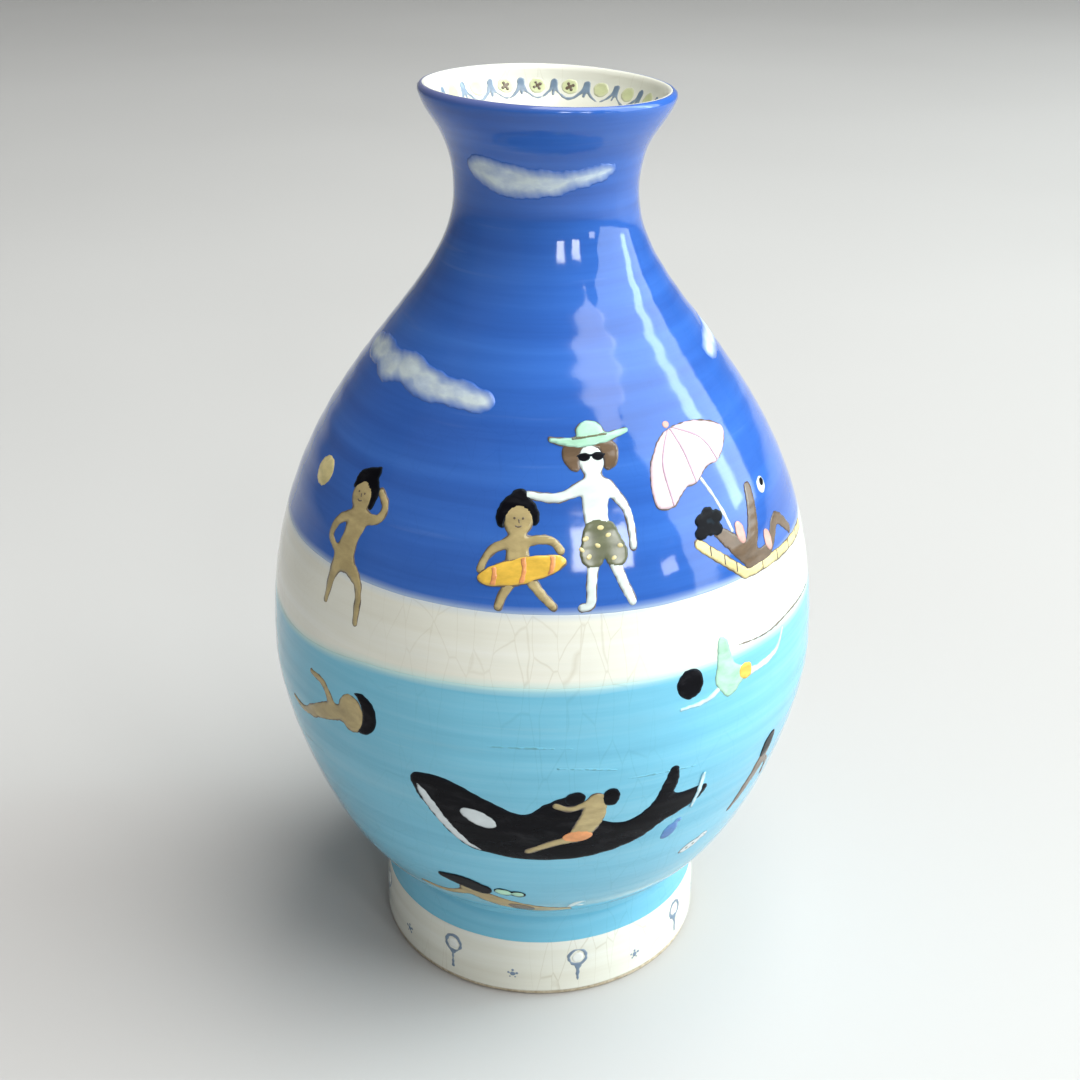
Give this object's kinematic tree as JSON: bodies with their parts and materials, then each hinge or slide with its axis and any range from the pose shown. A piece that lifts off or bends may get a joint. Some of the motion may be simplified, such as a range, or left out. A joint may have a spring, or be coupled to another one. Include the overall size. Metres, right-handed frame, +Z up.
{
  "type": "sake bottle",
  "caption": "Hand-thrown glazed stoneware sake bottle with a round belly, narrow neck, flared mouth and raised foot, banded in blue, ivory and turquoise under a painted beach scene.",
  "frame": {"origin": "centre of the foot rim, on the plane that the bottle stands on", "axes": "+Z up along the bottle's axis; -Y faces the front of the painted scene; +X towards the low side of the hand-thrown lip"},
  "size_m": [0.088, 0.088, 0.1435],
  "materials": {
    "bare_clay": "unglazed fired stoneware, fine sandy grain",
    "ivory_glaze": "clear gloss over pale clay, finely crazed",
    "blue_glaze": "gloss, brushed in rings, a little uneven",
    "turquoise_glaze": "gloss, brushed in rings, a little uneven",
    "cloud_enamel": "satin, laid on thick",
    "white_enamel": "gloss, laid on thick",
    "black_enamel": "gloss",
    "skin_enamel": "gloss, thin ochre",
    "brown_enamel": "gloss",
    "yellow_enamel": "gloss",
    "orange_enamel": "gloss",
    "green_enamel": "gloss",
    "pink_enamel": "gloss",
    "grey_blue_enamel": "gloss, thin brush strokes"
  },
  "bodies": {
    "root": {"clay_body": "bare_clay", "foot_ring": "bare_clay", "foot_glaze": "ivory_glaze", "sea_glaze": "turquoise_glaze", "beach_glaze": "ivory_glaze", "sky_glaze": "blue_glaze", "inner_glaze": "ivory_glaze", "recess_glaze": "ivory_glaze"}
  },
  "joints": []
}
